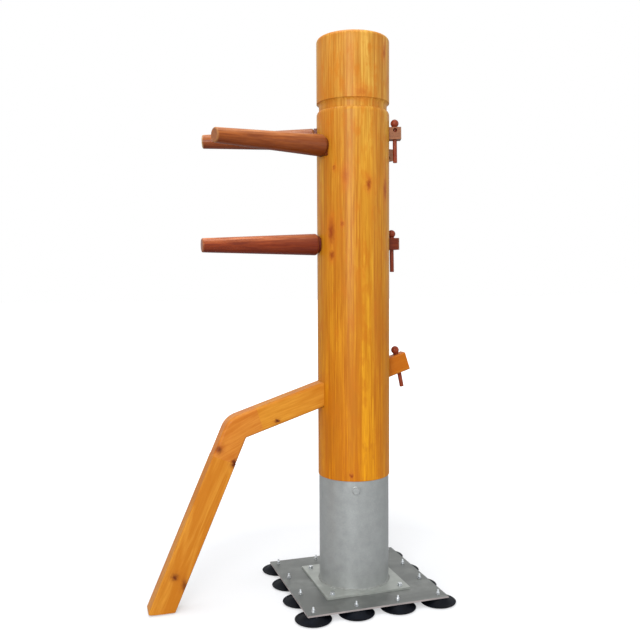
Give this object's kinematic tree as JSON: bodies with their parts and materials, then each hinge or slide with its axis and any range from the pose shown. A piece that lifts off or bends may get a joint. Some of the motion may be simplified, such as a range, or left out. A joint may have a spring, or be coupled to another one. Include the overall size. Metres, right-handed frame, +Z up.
{
  "type": "wooden wing dummy",
  "caption": "Free-standing wooden striking dummy: a turned trunk in a steel sleeve on a plate with suction cups, tapered arms and a bent leg, held by tenons and ball-headed pegs.",
  "frame": {"origin": "on the floor under the trunk's axis", "axes": "+Z up along the trunk, the arms and the leg point to -Y, +X to the right of a person who stands in front of the arms and faces the dummy"},
  "size_m": [0.503, 0.9004, 1.7115],
  "materials": {
    "trunk_wood": "clear lacquer over glued pine staves",
    "arm_wood": "lacquered reddish-brown hardwood",
    "dark_arm_wood": "lacquered dark red hardwood",
    "leg_wood": "lacquered knotty pine",
    "dowel_wood": "plain beech, glued",
    "peg_wood": "stained and polished dark red",
    "grey_paint": "satin metallic grey paint",
    "plate_steel": "satin grey paint on flat steel plate",
    "zinc": "bright zinc plating",
    "cup_rubber": "moulded black rubber, slightly glossy"
  },
  "bodies": {
    "stand": {"trunk": "trunk_wood", "trunk_screws": "grey_paint", "sleeve_pipe": "grey_paint", "pipe_flange": "grey_paint", "pipe_weld": "grey_paint", "base_plate": "plate_steel", "flange_bolts": "zinc", "flange_washers": "zinc", "flange_nuts": "zinc", "suction_cup_01": "cup_rubber", "suction_cup_02": "cup_rubber", "suction_cup_03": "cup_rubber", "suction_cup_04": "cup_rubber", "suction_cup_05": "cup_rubber", "suction_cup_06": "cup_rubber", "suction_cup_07": "cup_rubber", "suction_cup_08": "cup_rubber", "suction_cup_09": "cup_rubber", "suction_cup_10": "cup_rubber", "suction_cup_11": "cup_rubber", "suction_cup_12": "cup_rubber", "cup_studs": "zinc", "cup_washers": "zinc", "cup_nuts": "zinc"},
    "arm_left": {"arm_upper_left": "arm_wood"},
    "arm_right": {"arm_upper_right": "arm_wood"},
    "arm_mid": {"arm_middle": "dark_arm_wood"},
    "leg": {"leg_thigh": "leg_wood", "leg_knee": "leg_wood", "leg_shin": "leg_wood", "leg_dowels": "dowel_wood"},
    "peg_left": {"peg_upper_left": "peg_wood"},
    "peg_right": {"peg_upper_right": "peg_wood"},
    "peg_mid": {"peg_middle": "peg_wood"},
    "peg_low": {"peg_leg": "peg_wood"}
  },
  "joints": [
    {"name": "arm_left_draw", "type": "slide", "parent": "stand", "child": "arm_left", "axis": [-0.309, -0.951, -0.014], "range_m": [0, 0.0025]},
    {"name": "arm_right_draw", "type": "slide", "parent": "stand", "child": "arm_right", "axis": [0.309, -0.951, -0.014], "range_m": [0, 0.0025]},
    {"name": "arm_mid_draw", "type": "slide", "parent": "stand", "child": "arm_mid", "axis": [0, -0.9999, -0.014], "range_m": [0, 0.0025]},
    {"name": "leg_draw", "type": "slide", "parent": "stand", "child": "leg", "axis": [0, -0.9505, -0.3107], "range_m": [0, 0.004]},
    {"name": "peg_left_lift", "type": "slide", "parent": "arm_left", "child": "peg_left", "axis": [-0.0043, -0.0133, 0.9999], "range_m": [0, 0.11]},
    {"name": "peg_right_lift", "type": "slide", "parent": "arm_right", "child": "peg_right", "axis": [0.0043, -0.0133, 0.9999], "range_m": [0, 0.11]},
    {"name": "peg_mid_lift", "type": "slide", "parent": "arm_mid", "child": "peg_mid", "axis": [0, -0.014, 0.9999], "range_m": [0, 0.11]},
    {"name": "peg_low_lift", "type": "slide", "parent": "leg", "child": "peg_low", "axis": [0, -0.1959, 0.9806], "range_m": [0, 0.064]}
  ]
}
